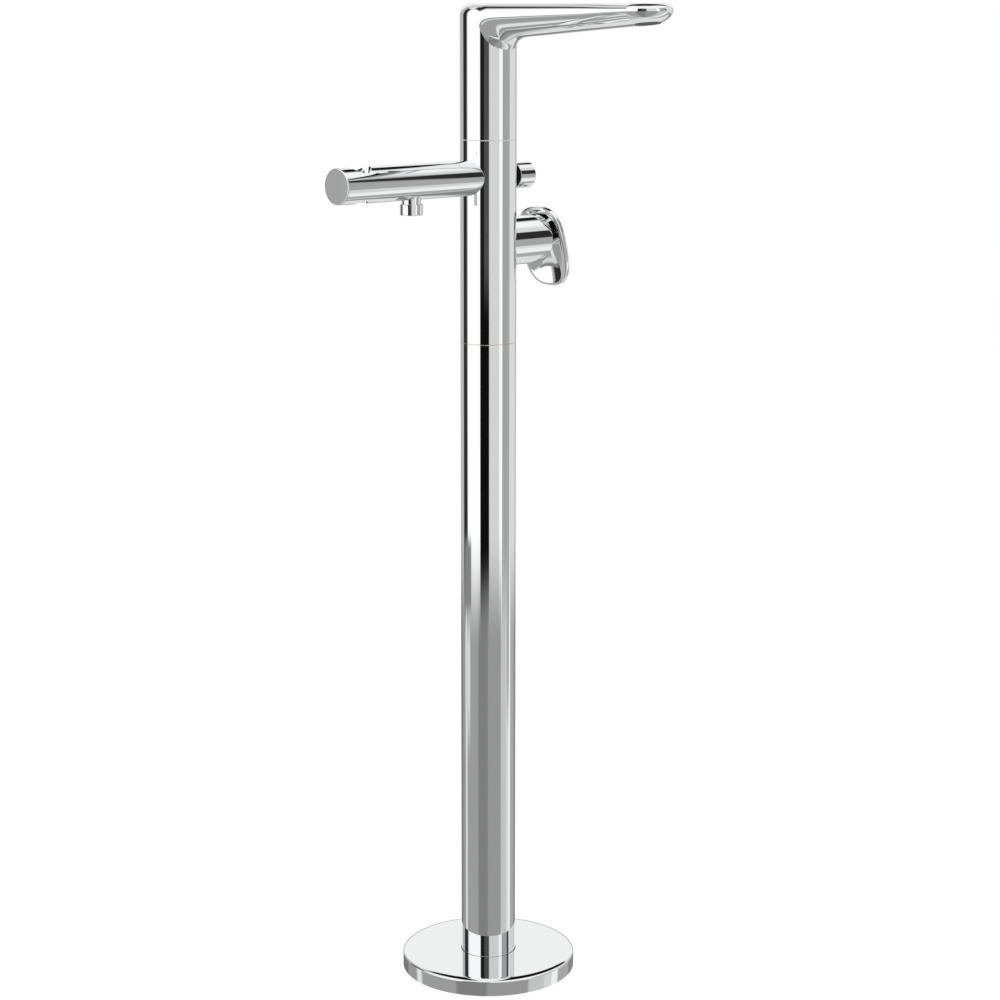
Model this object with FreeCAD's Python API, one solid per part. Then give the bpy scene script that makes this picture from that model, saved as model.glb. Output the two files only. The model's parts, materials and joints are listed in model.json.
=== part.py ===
"""Floor standing bath filler in millimetres, +Z up, with its origin on the floor under the column's axis.

A round foot carries a column with a mixer body on it. The body has a lever and a diverter knob along +X,
a handset arm along -X and, on top of it, a head that swivels and carries the spout along -Y.
"""

import FreeCAD
import Part
import math
import os

Vector = FreeCAD.Vector
UP = Vector(0, 0, 1)
OUT = Vector(1, 0, 0)

# Fits between pieces, all radial or along an axis
fixed_gap = 0.05          # between two pieces that are screwed or pressed together
running_gap = 0.05        # between a shaft and the bore that it turns or slides in
loose_gap = 0.3           # between pieces that only pass each other

# Foot
cover_r = 96.0
cover_wall = 2.0
cover_edge = 1.6
cover_seal_width = 2.4
cover_seal_height = 2.0
cover_room = 4.5          # between the flange and the cover's top
floor_plate_height = 5.0
floor_opening_room = 1.884  # round the inlet unions
anchor_inset = 21.0       # from the cover's skirt in to the anchors' circle
anchor_hole_r = 4.5
anchor_count = 4
flange_rim = 22.0         # how far the flange stands out round the column
flange_height = 7.0
spigot_height = 50.0
spigot_wall = 3.0
foot_screw_offset = 12.0  # from the column's skin out to the screws' circle
foot_screw_r = 3.0
foot_screw_head_r = 5.0
foot_screw_head_height = 2.6
foot_screw_count = 4

# Column and supply
column_r = 30.0
column_wall = 2.0
lower_seam_z = 709.0
seam = 0.6                # height of the thin line that shows between two tubes
seam_inset = 0.35         # how far the ring in a seam stays inside the tubes' skin
coupling_half = 22.0
coupling_wall = 3.0
supply_pitch = 25.0       # between the hot and the cold line
socket_r = 9.316          # root radius of a half inch pipe thread
inlet_socket_depth = 13.0
union_wall = 2.3
union_lift = 1.0
union_collar = 0.7
union_collar_height = 3.0
union_height = 39.0
hose_r = 6.5
hose_bore_r = 4.0
tail_thread_r = 5.0
tail_thread_length = 10.0
tail_collar_height = 5.0
tail_nipple_length = 17.0
tail_bore_r = 2.8
ferrule_wall = 1.1
ferrule_length = 20.0

# Mixer body
body_wall = 2.0
block_start = 26.0        # from the lower seam up to the valve block
lever_height = 106.3      # from the lower seam up to the lever's axis
arm_height = 70.0         # from the lever's axis up to the arm's
block_above_arm = 29.7    # from the arm's axis up to the valve block's top
seam_above_arm = 39.7     # from the arm's axis up to the upper seam

# Cartridge and lever
sleeve_r = 26.2
sleeve_wall = 2.5
sleeve_past_hub = 14.2    # how far the sleeve runs on past the lever's hub
boss_past_nut = 8.0       # how far the boss runs on past the cartridge's nut
chamber_r = 17.6
chamber_x = 6.0
cartridge_seal_height = 0.8
cartridge_length = 24.0   # from the chamber's floor to the shoulder
cartridge_neck_r = 14.5
cartridge_neck_length = 6.0
cartridge_nut_height = 12.0
cap_hole_r = 11.5
cap_height = 2.5
port_drop = 7.5           # from the cartridge's axis to its ports
inlet_port_r = 3.5
inlet_port_y = 8.5
seal_ring_wall = 1.2
mixed_port_r = 5.0
carrier_r = 11.1
carrier_depth = 11.8      # of the carrier inside the cartridge
carrier_overhang = 4.0    # of the carrier past the cartridge's end
carrier_slot_height = 16.0
carrier_floor = 1.8       # under the slot
pivot_height = 7.8        # from the carrier's foot to the pivot pin
pivot_pin_r = 2.0
stem_side = 8.0
stem_foot = 3.5           # of the stem behind the pivot pin
stem_engagement = 16.0    # of the stem in the lever's hub
hub_r = 11.0
hub_standoff = 5.5        # between the cap and the lever's hub
lever_tilt = 14.5         # degrees that the plate leans, its lower end outwards
lever_standoff = 6.9      # from the sleeve's end to the plate's back rim, along the cartridge's axis
lever_thickness = 8.0
lever_half_width = 32.6
lever_middle = 6.7        # of the plate's widest line under the cartridge's axis
lever_upper_half = 41.3
lever_lower_half = 48.7
lever_squareness = 2.8    # 2 would make the outline an ellipse
lever_outline_points = 48
lever_rim = 5.5
lever_dish = 3.5
lever_dish_r = 3.0
lever_edge = 3.4
lever_rim_edge = 2.4
lever_screw_r = 2.0
lever_screw_reach = 8.0   # from the hub's start

# Diverter
diverter_bore_r = 9.0
diverter_seat_x = -14.0
diverter_inlet_x = -8.0
spout_port_x = 8.0
spout_port_r = 6.0
diverter_travel = 8.0
arm_port_r = 6.0
port_land = 2.0           # between the spout's port and the gland
gland_recess = 1.0        # of the gland's shoulder behind the column's skin
gland_nose_r = 6.5
gland_overlap = 6.1       # of the gland's nose inside the knob
spring_r = 6.0
spring_wall = 1.2
spring_pocket_depth = 8.3
piston_height = 5.0
washer_height = 2.7
washer_r = 7.8
o_ring_depth = 1.4
o_ring_width = 2.2
stem_rod_r = 2.5
knob_r = 13.9
knob_standoff = 5.9       # from the column's skin
knob_length = 22.5
knob_wall = 1.2
knob_front_wall = 4.0
knob_edge = 1.0
insert_recess = 1.4
knob_stem_engagement = 9.0

# Handset arm
arm_r = 18.56
arm_wall = 2.56
arm_length = 181.4        # from the column's skin
arm_cap_height = 3.0
arm_cap_bevel = 0.7
arm_cap_spigot_r = 8.0
arm_cap_spigot_length = 5.0
arm_plug_length = 15.0
nipple_r = 8.0
nipple_thread = 8.0
nipple_tail = 6.0
nipple_bore_r = 4.5
water_tube_r = 6.0
cradle_inset = 28.9       # from the arm's end in to the cradle's centre
cradle_solid = 24.5       # from the cradle's centre to the end of the arm's bore
cradle_top_r = 14.0
cradle_bottom_r = 10.0
cradle_mouth = 16.0
outlet_offset = 47.6      # from the end of the arm's bore to the outlet's axis
outlet_block_half = 14.4
outlet_neck_r = 10.125
outlet_neck_bore_r = 7.5
outlet_neck_engagement = 9.0
collar_r = 12.0
neck_show = 3.94          # of the neck between the arm and the collar
collar_height = 11.6
collar_socket_depth = 8.8
check_valve_length = 12.0

# Spout
head_height = 141.2       # from the upper seam's top to the spout's top
head_wall = 4.0
head_roof = 18.5          # above the head's cavity
head_edge = 12.5
spout_wall = 3.0
nose_centre = 222.0       # from the column's axis to the centre of the spout's round end
spout_step_in = 2.0       # of the spout's flanks inside the column's width
spout_steps = 14
spout_edge = 4.5
root_start = 8.0          # where the spout's sections start, inside the head
root_reach = 60.0         # where the sweep down to the column starts
root_drop = 117.0         # how steep that sweep is
edge_root_reach = 24.0    # where the top edge starts to grow towards the head's
root_blend = 5.0          # fillet between the spout's belly and the column
nose_length = 72.0
nose_edge_across = 12.0
nose_edge_down = 6.7
belly_depth = 38.7        # of the belly under the top, at the column
belly_slope = 0.0775
belly_fullness = 0.66     # how far the belly's curve runs on down the flank and across; 0.55 is an ellipse
nose_fullness = 0.57
aerator_ahead = 4.9       # of the aerator beyond the centre of the spout's round end
aerator_lift = 0.2        # of the aerator's face over the belly
aerator_tilt = 7.0
aerator_r = 13.0
aerator_wall = 2.2
aerator_height = 6.0
aerator_seal_height = 1.0
aerator_port_r = 7.0
core_bore_r = 15.0
core_height = 57.0
swivel_bore_r = 9.0
swivel_end = 0.9          # of the spigot past the circlip
swivel_root = 10.0
swivel_flange_r = 20.0
swivel_flange_height = 3.0
spigot_ring_rise = (20.0, 32.0)  # over the upper seam
spigot_ring_height = 2.6
circlip_height = 1.5
circlip_r = 17.5
circlip_groove = 1.4
glide_collar_height = 5.0
glide_collar_wall = 2.5

# Places worked out from the sizes above
column_bore_r = column_r - column_wall
body_bore_r = column_r - body_wall
flange_top_z = floor_plate_height + flange_height
flange_r = column_r + flange_rim
foot_screw_circle_r = column_r + foot_screw_offset
anchor_circle_r = cover_r - anchor_inset
cover_inner_z = flange_top_z + cover_room
cover_height = cover_inner_z + cover_wall
supply_y = supply_pitch / 2
union_r = socket_r + union_wall
union_top_z = union_lift + union_height
floor_opening_r = supply_y + union_r + floor_opening_room
lever_z = lower_seam_z + lever_height
arm_z = lever_z + arm_height
upper_seam_z = arm_z + seam_above_arm
block_bottom_z = lower_seam_z + block_start
block_top_z = arm_z + block_above_arm
block_r = body_bore_r - 4 * fixed_gap
boss_r = sleeve_r - sleeve_wall - loose_gap
cartridge_shoulder_x = chamber_x + cartridge_length
cartridge_end_x = cartridge_shoulder_x + cartridge_neck_length
cartridge_nut_end_x = cartridge_shoulder_x + cartridge_nut_height
boss_end_x = cartridge_nut_end_x + boss_past_nut
carrier_start_x = cartridge_end_x - carrier_depth
carrier_end_x = cartridge_end_x + carrier_overhang
carrier_slot_x = carrier_start_x + carrier_floor
pivot_x = carrier_start_x + pivot_height
hub_start_x = boss_end_x + cap_height + hub_standoff
stem_start_x = pivot_x - stem_foot
stem_end_x = hub_start_x + stem_engagement
lever_screw_x = hub_start_x + lever_screw_reach
sleeve_end_x = hub_start_x + sleeve_past_hub
lever_back_x = sleeve_end_x + lever_standoff
gland_inner_x = spout_port_x + spout_port_r + port_land
gland_shoulder_x = column_r - gland_recess
piston_back_x = diverter_seat_x + loose_gap + washer_height + piston_height
knob_back_x = column_r + knob_standoff
knob_front_x = knob_back_x + knob_length
gland_end_x = knob_back_x + gland_overlap
arm_bore_r = arm_r - arm_wall
arm_end_x = -column_r - arm_length
arm_cap_x = arm_end_x + arm_cap_height
cradle_x = arm_end_x + cradle_inset
arm_bore_end_x = cradle_x + cradle_solid
outlet_x = arm_bore_end_x + outlet_offset
arm_plug_x = -column_r - arm_plug_length
nipple_end_x = arm_plug_x - nipple_tail
outlet_block_near_x = outlet_x + outlet_block_half
outlet_block_far_x = outlet_x - outlet_block_half
collar_top_z = arm_z - arm_r - neck_show
neck_bottom_z = collar_top_z - collar_height + collar_socket_depth
neck_top_z = arm_z - arm_r + outlet_neck_engagement
body_top_z = upper_seam_z - seam / 2
head_bottom_z = upper_seam_z + seam / 2
core_top_z = head_bottom_z + core_height
swivel_bottom_z = block_top_z - swivel_root
swivel_top_z = core_top_z + loose_gap + circlip_height + swivel_end
spigot_ring_z = [upper_seam_z + rise for rise in spigot_ring_rise]
spout_top_z = head_bottom_z + head_height
head_cavity_top_z = spout_top_z - head_roof
spout_half_width = column_r - spout_step_in
belly_root_z = spout_top_z - belly_depth
aerator_reach = nose_centre + aerator_ahead
aerator_z = belly_root_z + belly_slope * aerator_reach + aerator_lift


def rod(radius, start, end):
    """A round bar from one point to another."""
    return Part.makeCylinder(radius, (end - start).Length, start, end - start)


def pipe(outer, inner, start, end):
    """A round tube from one point to another."""
    return rod(outer, start, end).cut(rod(inner, start, end))


def on_column(z):
    """The point of the column's axis at a height."""
    return Vector(0, 0, z)


def on_supply(side, z):
    """The point of the hot (side 1) or cold (side -1) line at a height."""
    return Vector(0, side * supply_y, z)


def on_lever(x):
    """The point of the cartridge's axis at a distance from the column's axis."""
    return Vector(x, 0, lever_z)


def on_arm(x):
    """The point of the axis that the handset arm and the diverter share."""
    return Vector(x, 0, arm_z)


def block(low, high):
    """A rectangular block between two corners."""
    size = high - low
    return Part.makeBox(size.x, size.y, size.z, low)


def around(radius, count, first_deg):
    """Evenly spaced (x, y) places on a circle round the column's axis."""
    turns = [math.radians(first_deg + 360 * i / count) for i in range(count)]
    return [(radius * math.cos(turn), radius * math.sin(turn)) for turn in turns]


def edges_at(shape, inside):
    """The edges of a shape whose centre of mass passes a test."""
    return [edge for edge in shape.Edges if inside(edge.CenterOfMass)]


def group(solids):
    """Separate equal solids as one shape."""
    return Part.makeCompound(solids)


# Foot


def floor_plate():
    """Steel disc that is bolted to the floor and that the cover's skirt fits round."""
    radius = cover_r - cover_wall - loose_gap
    plate = pipe(radius, floor_opening_r, on_column(0), on_column(floor_plate_height))
    for x, y in around(anchor_circle_r, anchor_count, 45):
        plate = plate.cut(rod(anchor_hole_r, Vector(x, y, 0), Vector(x, y, floor_plate_height)))
    for x, y in around(foot_screw_circle_r, foot_screw_count, 0):
        hole = rod(foot_screw_r + fixed_gap, Vector(x, y, 0), Vector(x, y, floor_plate_height))
        plate = plate.cut(hole)
    return plate


def foot_flange():
    """Flange on the floor plate, with the spigot that the column stands round."""
    spigot_r = column_bore_r - fixed_gap
    top = flange_top_z + spigot_height
    flange = rod(flange_r, on_column(floor_plate_height), on_column(flange_top_z))
    spigot = pipe(spigot_r, spigot_r - spigot_wall, on_column(flange_top_z), on_column(top))
    flange = flange.fuse(spigot)
    for side in (1, -1):
        hole = rod(union_r + fixed_gap, on_supply(side, 0), on_supply(side, flange_top_z))
        flange = flange.cut(hole)
    for x, y in around(foot_screw_circle_r, foot_screw_count, 0):
        hole = rod(foot_screw_r + fixed_gap, Vector(x, y, 0), Vector(x, y, flange_top_z))
        flange = flange.cut(hole)
    return flange.removeSplitter()


def foot_screws():
    """Screws that hold the flange on the floor plate."""
    screws = []
    for x, y in around(foot_screw_circle_r, foot_screw_count, 0):
        shank = rod(foot_screw_r, Vector(x, y, 0.5), Vector(x, y, flange_top_z))
        top = flange_top_z + foot_screw_head_height
        head = rod(foot_screw_head_r, Vector(x, y, flange_top_z), Vector(x, y, top))
        screws.append(shank.fuse(head))
    return group(screws)


def base_cover():
    """Round cap that hides the foot and shows as the base plate."""
    cover = rod(cover_r, on_column(0), on_column(cover_height))
    cover = cover.makeFillet(cover_edge, edges_at(cover, lambda p: p.z > cover_height - 0.1))
    cover = cover.cut(rod(cover_r - cover_wall, on_column(0), on_column(cover_inner_z)))
    return cover.cut(rod(column_r + fixed_gap, on_column(0), on_column(cover_height)))


def cover_seal():
    """Rubber ring round the column, under the cover's top."""
    bottom = cover_inner_z - cover_seal_height
    inner = column_r + fixed_gap
    return pipe(inner + cover_seal_width, inner, on_column(bottom), on_column(cover_inner_z))


def inlet_union(side):
    """Brass union that takes a supply pipe from below and a hose from above."""
    collar_top = flange_top_z + union_collar_height
    union = rod(union_r, on_supply(side, union_lift), on_supply(side, union_top_z))
    collar = rod(union_r + union_collar, on_supply(side, flange_top_z), on_supply(side, collar_top))
    union = union.fuse(collar)
    socket_end = union_lift + inlet_socket_depth
    union = union.cut(rod(socket_r, on_supply(side, union_lift), on_supply(side, socket_end)))
    thread = union_top_z - tail_thread_length
    union = union.cut(rod(hose_bore_r, on_supply(side, socket_end), on_supply(side, thread)))
    port = rod(tail_thread_r + fixed_gap, on_supply(side, thread), on_supply(side, union_top_z))
    return union.cut(port).removeSplitter()


# Column and supply


def column_tube():
    """Chromed tube from the flange up to the lower seam."""
    top = lower_seam_z - seam / 2
    return pipe(column_r, column_bore_r, on_column(flange_top_z), on_column(top))


def coupling_sleeve():
    """Sleeve inside the lower seam, with the thin collar that shows as the seam's line."""
    low = lower_seam_z - coupling_half
    high = lower_seam_z + coupling_half
    sleeve = rod(column_bore_r - fixed_gap, on_column(low), on_column(lower_seam_z))
    sleeve = sleeve.fuse(rod(body_bore_r - fixed_gap, on_column(lower_seam_z), on_column(high)))
    collar_low = on_column(lower_seam_z - seam / 2)
    sleeve = sleeve.fuse(rod(column_r - seam_inset, collar_low, collar_low + UP * seam))
    bore_r = min(column_bore_r, body_bore_r) - coupling_wall
    return sleeve.cut(rod(bore_r, on_column(low), on_column(high))).removeSplitter()


def hose_ends():
    """Heights of a hose's lower and upper end."""
    return union_top_z + tail_collar_height, block_bottom_z - tail_collar_height


def supply_hose(side):
    """Braided hose from the inlet union to the valve block."""
    low, high = hose_ends()
    return pipe(hose_r, hose_bore_r, on_supply(side, low), on_supply(side, high))


def hose_tail(side, seat_z, inwards):
    """Threaded tail of a hose: thread in its seat, collar against it, nipple inside the hose."""
    seat = on_supply(side, seat_z)
    axis = UP * inwards
    thread_end = seat + axis * (tail_thread_length - fixed_gap)
    collar_end = seat - axis * tail_collar_height
    nipple_end = collar_end - axis * tail_nipple_length
    tail = rod(tail_thread_r, seat, thread_end)
    tail = tail.fuse(rod(hose_r + ferrule_wall, seat, collar_end))
    tail = tail.fuse(rod(hose_bore_r - fixed_gap, collar_end, nipple_end))
    return tail.cut(rod(tail_bore_r, nipple_end, thread_end)).removeSplitter()


def hose_tails():
    """The four equal tails of the two hoses."""
    seats = [(side, z, way) for side in (1, -1) for z, way in ((union_top_z, -1), (block_bottom_z, 1))]
    return group([hose_tail(side, z, way) for side, z, way in seats])


def hose_ferrules():
    """The four crimped ferrules at the hoses' ends."""
    low, high = hose_ends()
    ferrules = []
    for side in (1, -1):
        for start, end in ((low, low + ferrule_length), (high - ferrule_length, high)):
            inner = hose_r + fixed_gap
            outer = hose_r + ferrule_wall
            ferrules.append(pipe(outer, inner, on_supply(side, start), on_supply(side, end)))
    return group(ferrules)


# Mixer body


def body_shell():
    """Chromed tube round the valve block, holed for the arm, the cartridge and the diverter."""
    low = lower_seam_z + seam / 2
    shell = pipe(column_r, body_bore_r, on_column(low), on_column(body_top_z))
    shell = shell.cut(rod(boss_r + loose_gap, on_lever(0), on_lever(column_r + 1)))
    shell = shell.cut(rod(diverter_bore_r + loose_gap, on_arm(0), on_arm(column_r + 1)))
    return shell.cut(rod(nipple_r + loose_gap, on_arm(-column_r - 1), on_arm(0)))


def valve_block():
    """Brass block with the cartridge's chamber, the diverter's bore and the channels between them."""
    brass = rod(block_r, on_column(block_bottom_z), on_column(block_top_z))
    brass = brass.fuse(rod(boss_r, on_lever(0), on_lever(boss_end_x)))
    brass = brass.cut(rod(chamber_r, on_lever(chamber_x), on_lever(boss_end_x)))
    inlet_z = lever_z - port_drop
    for side in (1, -1):
        thread_top = on_supply(side, block_bottom_z + tail_thread_length)
        brass = brass.cut(rod(tail_thread_r + fixed_gap, on_supply(side, block_bottom_z), thread_top))
        channel = rod(inlet_port_r, thread_top, on_supply(side, inlet_z + inlet_port_r))
        mouth = Vector(chamber_x, side * inlet_port_y, inlet_z)
        port = rod(inlet_port_r, on_supply(side, inlet_z), mouth + (mouth - on_supply(side, inlet_z)) / 2)
        brass = brass.cut(channel).cut(port)
    mixed_z = lever_z + port_drop
    turn = Vector(diverter_inlet_x, 0, mixed_z)
    brass = brass.cut(rod(mixed_port_r, turn, Vector(chamber_x, 0, mixed_z)))
    brass = brass.cut(rod(mixed_port_r, turn - UP * mixed_port_r, on_arm(diverter_inlet_x)))
    brass = brass.cut(rod(diverter_bore_r, on_arm(diverter_seat_x), on_arm(block_r)))
    brass = brass.cut(rod(arm_port_r, on_arm(diverter_seat_x), on_arm(-block_r)))
    thread_end = on_arm(-column_r + nipple_thread + body_wall)
    brass = brass.cut(rod(nipple_r + fixed_gap, on_arm(-block_r), thread_end))
    brass = brass.cut(rod(spout_port_r, on_arm(spout_port_x), Vector(spout_port_x, 0, block_top_z)))
    seat = rod(core_bore_r - running_gap, on_column(swivel_bottom_z), on_column(block_top_z))
    return brass.cut(seat).removeSplitter()


# Cartridge and lever


def lever_sleeve():
    """Chromed sleeve round the cartridge, from the body out to behind the lever."""
    sleeve = pipe(sleeve_r, sleeve_r - sleeve_wall, on_lever(0), on_lever(sleeve_end_x))
    return sleeve.cut(rod(column_r, on_column(lower_seam_z), on_column(upper_seam_z)))


def cartridge_seals():
    """Rings between the cartridge's base and the block, one round each port."""
    low = chamber_x
    high = chamber_x + cartridge_seal_height
    inlets = [(side * inlet_port_y, lever_z - port_drop, inlet_port_r) for side in (1, -1)]
    mixed = (0, lever_z + port_drop, mixed_port_r)
    rings = []
    for y, z, radius in inlets + [mixed]:
        rings.append(pipe(radius + seal_ring_wall, radius, Vector(low, y, z), Vector(high, y, z)))
    return group(rings)


def cartridge():
    """Ceramic cartridge: its housing with the recess that the carrier turns in."""
    base = chamber_x + cartridge_seal_height
    housing = rod(chamber_r - 4 * fixed_gap, on_lever(base), on_lever(cartridge_shoulder_x))
    neck = rod(cartridge_neck_r, on_lever(cartridge_shoulder_x), on_lever(cartridge_end_x))
    recess_start = on_lever(carrier_start_x - 2 * fixed_gap)
    recess = rod(carrier_r + running_gap, recess_start, on_lever(cartridge_end_x))
    return housing.fuse(neck).cut(recess).removeSplitter()


def cartridge_nut():
    """Ring nut that clamps the cartridge in its chamber."""
    outer = chamber_r - fixed_gap
    inner = cartridge_neck_r + 4 * fixed_gap
    return pipe(outer, inner, on_lever(cartridge_shoulder_x), on_lever(cartridge_nut_end_x))


def cartridge_cap():
    """Trim disc on the boss, behind the lever's hub."""
    return pipe(boss_r, cap_hole_r, on_lever(boss_end_x), on_lever(boss_end_x + cap_height))


def cartridge_carrier():
    """Carrier that turns for temperature and lets the stem tilt for flow in its slot."""
    carrier = rod(carrier_r, on_lever(carrier_start_x), on_lever(carrier_end_x))
    half = Vector(0, stem_side / 2 + 2 * fixed_gap, carrier_slot_height / 2)
    slot = block(on_lever(carrier_slot_x) - half, on_lever(carrier_end_x) + half)
    return carrier.cut(slot).cut(pivot_bore())


def pivot_bore():
    """Bore for the pin that the stem tilts on."""
    reach = Vector(0, carrier_r, 0)
    return rod(pivot_pin_r + running_gap, on_lever(pivot_x) - reach, on_lever(pivot_x) + reach)


def stem_pivot_pin():
    """Pin through the carrier and the stem, as long as the carrier is wide there."""
    reach = Vector(0, carrier_r - loose_gap, 0)
    return rod(pivot_pin_r, on_lever(pivot_x) - reach, on_lever(pivot_x) + reach)


def lever_stem():
    """Square stem from the pivot pin out into the lever's hub."""
    half = Vector(0, stem_side / 2, stem_side / 2)
    stem = block(on_lever(stem_start_x) - half, on_lever(stem_end_x) + half)
    return stem.cut(pivot_bore())


def plate_outline(inset):
    """The lever plate's outline, drawn in by an inset: x is across, y is up along the plate.

    It is a square kind of ellipse about its widest line, with a longer lower half.
    """
    points = []
    for i in range(lever_outline_points):
        turn = math.radians(360 * i / lever_outline_points)
        across = math.cos(turn)
        along = math.sin(turn)
        size = abs(across) ** lever_squareness + abs(along) ** lever_squareness
        reach = size ** (-1 / lever_squareness)
        half = lever_upper_half if along > 0 else lever_lower_half
        x = (lever_half_width - inset) * reach * across
        points.append(Vector(x, (half - inset) * reach * along - lever_middle, 0))
    curve = Part.BSplineCurve()
    curve.interpolate(Points=points, PeriodicFlag=True)
    return Part.Face(Part.Wire(curve.toShape()))


def lean(shape):
    """Moves a shape drawn flat, facing +Z with its top at +Y, to where the lever plate leans."""
    tilt = math.radians(lever_tilt)
    across = Vector(0, 1, 0)
    up = Vector(-math.sin(tilt), 0, math.cos(tilt))
    ahead = Vector(math.cos(tilt), 0, math.sin(tilt))
    place = FreeCAD.Matrix(
        across.x, up.x, ahead.x, lever_back_x,
        across.y, up.y, ahead.y, 0,
        across.z, up.z, ahead.z, lever_z,
        0, 0, 0, 1)
    return shape.transformGeometry(place)


def lever():
    """Lever: a leaning plate with a dished back, and the hub behind it that takes the stem."""
    plate = plate_outline(0).extrude(UP * lever_thickness)
    plate = plate.makeFillet(lever_edge, edges_at(plate, lambda p: p.z > lever_thickness - 0.1))
    plate = plate.makeFillet(lever_rim_edge, edges_at(plate, lambda p: p.z < 0.1))
    dish = plate_outline(lever_rim).extrude(UP * lever_dish)
    dish = dish.makeFillet(lever_dish_r, edges_at(dish, lambda p: p.z > lever_dish - 0.1))
    plate = lean(plate.cut(dish))
    front_x = lever_back_x + lever_thickness / 2
    hub = rod(hub_r, on_lever(hub_start_x), on_lever(front_x))
    handle = plate.fuse(hub)
    half = Vector(0, stem_side / 2 + fixed_gap, stem_side / 2 + fixed_gap)
    socket = block(on_lever(hub_start_x) - half, on_lever(stem_end_x + fixed_gap) + half)
    screw_seat = on_lever(lever_screw_x)
    screw_bore = rod(lever_screw_r + fixed_gap, screw_seat - UP * hub_r, screw_seat)
    return handle.cut(socket).cut(screw_bore)


def lever_screw():
    """Grub screw that clamps the hub on the stem."""
    low = on_lever(lever_screw_x) - UP * (hub_r - loose_gap)
    high = on_lever(lever_screw_x) - UP * (stem_side / 2)
    return rod(lever_screw_r, low, high)


# Diverter


def diverter_gland():
    """Gland that closes the diverter's bore, with the dark nose that shows behind the knob."""
    thread = rod(diverter_bore_r - fixed_gap, on_arm(gland_inner_x), on_arm(gland_shoulder_x))
    nose = rod(gland_nose_r, on_arm(gland_shoulder_x), on_arm(gland_end_x))
    gland = thread.fuse(nose)
    pocket_end = on_arm(gland_inner_x + spring_pocket_depth)
    gland = gland.cut(rod(spring_r + loose_gap, on_arm(gland_inner_x), pocket_end))
    return gland.cut(rod(stem_rod_r + running_gap, on_arm(gland_inner_x), on_arm(gland_end_x)))


def diverter_piston():
    """Piston that sends the water up to the spout or out to the arm."""
    radius = diverter_bore_r - running_gap
    piston_front_x = piston_back_x - piston_height
    piston = pipe(radius, stem_rod_r + fixed_gap, on_arm(piston_front_x), on_arm(piston_back_x))
    middle = piston_back_x - piston_height / 2
    half = o_ring_width / 2 + fixed_gap
    return piston.cut(pipe(radius, radius - o_ring_depth, on_arm(middle - half), on_arm(middle + half)))


def piston_o_ring():
    """Rubber ring in the piston's groove."""
    outer = diverter_bore_r - running_gap
    middle = piston_back_x - piston_height / 2
    low = on_arm(middle - o_ring_width / 2)
    high = on_arm(middle + o_ring_width / 2)
    return pipe(outer, outer - o_ring_depth + fixed_gap, low, high)


def piston_washer():
    """Rubber washer on the piston's face, which closes the arm's port."""
    face = piston_back_x - piston_height
    return rod(washer_r, on_arm(face - washer_height), on_arm(face))


def diverter_spring():
    """Return spring round the stem, at the length it is pressed to with the knob pulled."""
    length = gland_inner_x + spring_pocket_depth - diverter_travel - loose_gap - piston_back_x
    end = on_arm(piston_back_x + length)
    return pipe(spring_r, spring_r - spring_wall, on_arm(piston_back_x), end)


def diverter_stem():
    """Rod that joins the piston and the knob."""
    end = on_arm(knob_front_x - knob_front_wall - fixed_gap)
    return rod(stem_rod_r, on_arm(piston_back_x - piston_height), end)


def knob_insert():
    """Black plastic insert that fills the knob's back and grips the stem."""
    front = knob_front_x - knob_front_wall
    outer = knob_r - knob_wall - fixed_gap
    insert = rod(outer, on_arm(knob_back_x + insert_recess), on_arm(front))
    nose_room = rod(gland_nose_r + loose_gap, on_arm(knob_back_x), on_arm(front - knob_stem_engagement))
    return insert.cut(nose_room).cut(rod(stem_rod_r + fixed_gap, on_arm(knob_back_x), on_arm(front)))


def diverter_knob():
    """Chromed knob, hollow at the back."""
    knob = rod(knob_r, on_arm(knob_back_x), on_arm(knob_front_x))
    knob = knob.makeFillet(knob_edge, edges_at(knob, lambda p: p.x > knob_front_x - 0.1))
    return knob.cut(rod(knob_r - knob_wall, on_arm(knob_back_x), on_arm(knob_front_x - knob_front_wall)))


# Handset arm


def arm_body():
    """Chromed arm with the tapered cradle for a handset, open at its far side."""
    body = rod(arm_r, on_arm(arm_cap_x), on_arm(0))
    body = body.cut(rod(arm_bore_r, on_arm(arm_bore_end_x), on_arm(0)))
    body = body.cut(rod(column_r, on_column(lower_seam_z), on_column(upper_seam_z)))
    spigot_end_x = arm_cap_x + arm_cap_spigot_length
    body = body.cut(rod(arm_cap_spigot_r + fixed_gap, on_arm(arm_cap_x), on_arm(spigot_end_x)))
    bottom = Vector(cradle_x, 0, arm_z - arm_r)
    body = body.cut(Part.makeCone(cradle_bottom_r, cradle_top_r, 2 * arm_r, bottom, UP))
    half = cradle_mouth / 2
    mouth_low = Vector(cradle_x - half, 0, arm_z - arm_r)
    body = body.cut(block(mouth_low, Vector(cradle_x + half, arm_r, arm_z + arm_r)))
    neck_hole = rod(outlet_neck_r + fixed_gap, Vector(outlet_x, 0, arm_z - arm_r - 1), on_arm(outlet_x))
    return body.cut(neck_hole)


def arm_end_cap():
    """Disc that closes the arm's end."""
    disc = rod(arm_r, on_arm(arm_end_x), on_arm(arm_cap_x))
    disc = disc.makeChamfer(arm_cap_bevel, edges_at(disc, lambda p: p.x < arm_end_x + 0.1))
    spigot_end = on_arm(arm_cap_x + arm_cap_spigot_length - loose_gap)
    return disc.fuse(rod(arm_cap_spigot_r, on_arm(arm_cap_x), spigot_end)).removeSplitter()


def arm_root_plug():
    """Brass plug in the arm's root, saddled on the body, that carries the nipple."""
    plug = rod(arm_bore_r - fixed_gap, on_arm(arm_plug_x), on_arm(0))
    plug = plug.cut(rod(column_r, on_column(lower_seam_z), on_column(upper_seam_z)))
    return plug.cut(rod(nipple_r + fixed_gap, on_arm(arm_plug_x), on_arm(0)))


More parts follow.
